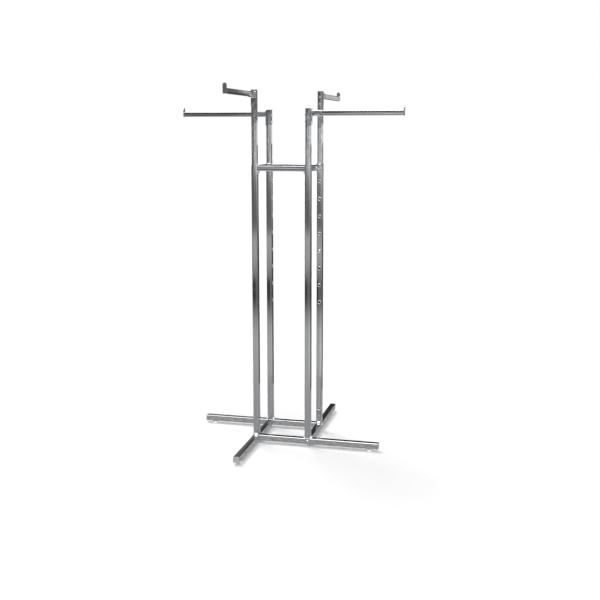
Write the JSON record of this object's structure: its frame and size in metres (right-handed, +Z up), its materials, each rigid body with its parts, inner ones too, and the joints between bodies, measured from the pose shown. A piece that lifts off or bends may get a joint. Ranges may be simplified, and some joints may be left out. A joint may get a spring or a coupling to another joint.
{
  "type": "four way clothing rack",
  "caption": "Freestanding chrome garment rack: pinwheel base on levelling feet, square uprights tied by a collar, height adjustable posts with straight arms and upturned end stops.",
  "frame": {"origin": "on the floor under the centre of the base, which is the centre of the bounding box's underside", "axes": "+Z up, +X to the right and +Y to the back as the rack is seen from the front; the front left arm points to -Y, the front right arm to +X, the rear right arm to +Y and the rear left arm to -X"},
  "size_m": [1.0146, 1.0146, 1.5185],
  "materials": {
    "base_chrome": "polished",
    "upright_chrome": "polished",
    "collar_chrome": "polished",
    "post_chrome": "polished",
    "arm_chrome": "polished",
    "bracket_chrome": "polished",
    "bolt": "polished",
    "button": "polished",
    "zinc": "satin",
    "spring_steel": "satin",
    "end_plug": "satin",
    "post_cap": "satin",
    "nylon": "satin"
  },
  "bodies": {
    "base_frame": {"base_bar_left": "base_chrome", "base_bar_front": "base_chrome", "base_bar_right": "base_chrome", "base_bar_rear": "base_chrome", "leg_end_plugs": "end_plug", "base_corner_bolts": "bolt", "base_corner_inserts": "zinc", "leveler_inserts": "zinc", "upright_front_left": "upright_chrome", "upright_front_right": "upright_chrome", "upright_rear_right": "upright_chrome", "upright_rear_left": "upright_chrome", "collar_bar_front": "collar_chrome", "collar_bar_right": "collar_chrome", "collar_bar_rear": "collar_chrome", "collar_bar_left": "collar_chrome", "collar_spigots": "collar_chrome", "collar_bolts": "bolt", "collar_nuts": "zinc"},
    "post_assembly_front_left": {"post_front_left": "post_chrome", "post_cap_front_left": "post_cap", "arm_front_left": "arm_chrome", "arm_stop_front_left": "arm_chrome", "arm_bracket_front_left": "bracket_chrome", "arm_screws_front_left": "bolt", "button_spring_front_left": "spring_steel"},
    "post_assembly_front_right": {"post_front_right": "post_chrome", "post_cap_front_right": "post_cap", "arm_front_right": "arm_chrome", "arm_stop_front_right": "arm_chrome", "arm_bracket_front_right": "bracket_chrome", "arm_screws_front_right": "bolt", "button_spring_front_right": "spring_steel"},
    "post_assembly_rear_right": {"post_rear_right": "post_chrome", "post_cap_rear_right": "post_cap", "arm_rear_right": "arm_chrome", "arm_stop_rear_right": "arm_chrome", "arm_bracket_rear_right": "bracket_chrome", "arm_screws_rear_right": "bolt", "button_spring_rear_right": "spring_steel"},
    "post_assembly_rear_left": {"post_rear_left": "post_chrome", "post_cap_rear_left": "post_cap", "arm_rear_left": "arm_chrome", "arm_stop_rear_left": "arm_chrome", "arm_bracket_rear_left": "bracket_chrome", "arm_screws_rear_left": "bolt", "button_spring_rear_left": "spring_steel"},
    "button_front_left": {"snap_button_front_left": "button"},
    "button_front_right": {"snap_button_front_right": "button"},
    "button_rear_right": {"snap_button_rear_right": "button"},
    "button_rear_left": {"snap_button_rear_left": "button"},
    "foot_front_left": {"leveler_front_left": "zinc", "leveler_pad_front_left": "nylon"},
    "foot_front_right": {"leveler_front_right": "zinc", "leveler_pad_front_right": "nylon"},
    "foot_rear_right": {"leveler_rear_right": "zinc", "leveler_pad_rear_right": "nylon"},
    "foot_rear_left": {"leveler_rear_left": "zinc", "leveler_pad_rear_left": "nylon"}
  },
  "joints": [
    {"name": "post_height_front_left", "type": "slide", "parent": "base_frame", "child": "post_assembly_front_left", "axis": [0, 0, 1], "range_m": [-0.2286, 0.2286]},
    {"name": "post_height_front_right", "type": "slide", "parent": "base_frame", "child": "post_assembly_front_right", "axis": [0, 0, 1], "range_m": [-0.1524, 0.3048]},
    {"name": "post_height_rear_right", "type": "slide", "parent": "base_frame", "child": "post_assembly_rear_right", "axis": [0, 0, 1], "range_m": [-0.2286, 0.2286]},
    {"name": "post_height_rear_left", "type": "slide", "parent": "base_frame", "child": "post_assembly_rear_left", "axis": [0, 0, 1], "range_m": [-0.1524, 0.3048]},
    {"name": "button_press_front_left", "type": "slide", "parent": "post_assembly_front_left", "child": "button_front_left", "axis": [0, -1, 0], "range_m": [0, 0.005], "stiffness_N_per_m": 2000, "springref_m": -0.003, "deforming": ["button_spring_front_left"]},
    {"name": "button_press_front_right", "type": "slide", "parent": "post_assembly_front_right", "child": "button_front_right", "axis": [1, 0, 0], "range_m": [0, 0.005], "stiffness_N_per_m": 2000, "springref_m": -0.003, "deforming": ["button_spring_front_right"]},
    {"name": "button_press_rear_right", "type": "slide", "parent": "post_assembly_rear_right", "child": "button_rear_right", "axis": [0, 1, 0], "range_m": [0, 0.005], "stiffness_N_per_m": 2000, "springref_m": -0.003, "deforming": ["button_spring_rear_right"]},
    {"name": "button_press_rear_left", "type": "slide", "parent": "post_assembly_rear_left", "child": "button_rear_left", "axis": [-1, 0, 0], "range_m": [0, 0.005], "stiffness_N_per_m": 2000, "springref_m": -0.003, "deforming": ["button_spring_rear_left"]},
    {"name": "foot_height_front_left", "type": "slide", "parent": "base_frame", "child": "foot_front_left", "axis": [0, 0, -1], "range_m": [0, 0.01]},
    {"name": "foot_height_front_right", "type": "slide", "parent": "base_frame", "child": "foot_front_right", "axis": [0, 0, -1], "range_m": [0, 0.01]},
    {"name": "foot_height_rear_right", "type": "slide", "parent": "base_frame", "child": "foot_rear_right", "axis": [0, 0, -1], "range_m": [0, 0.01]},
    {"name": "foot_height_rear_left", "type": "slide", "parent": "base_frame", "child": "foot_rear_left", "axis": [0, 0, -1], "range_m": [0, 0.01]}
  ]
}
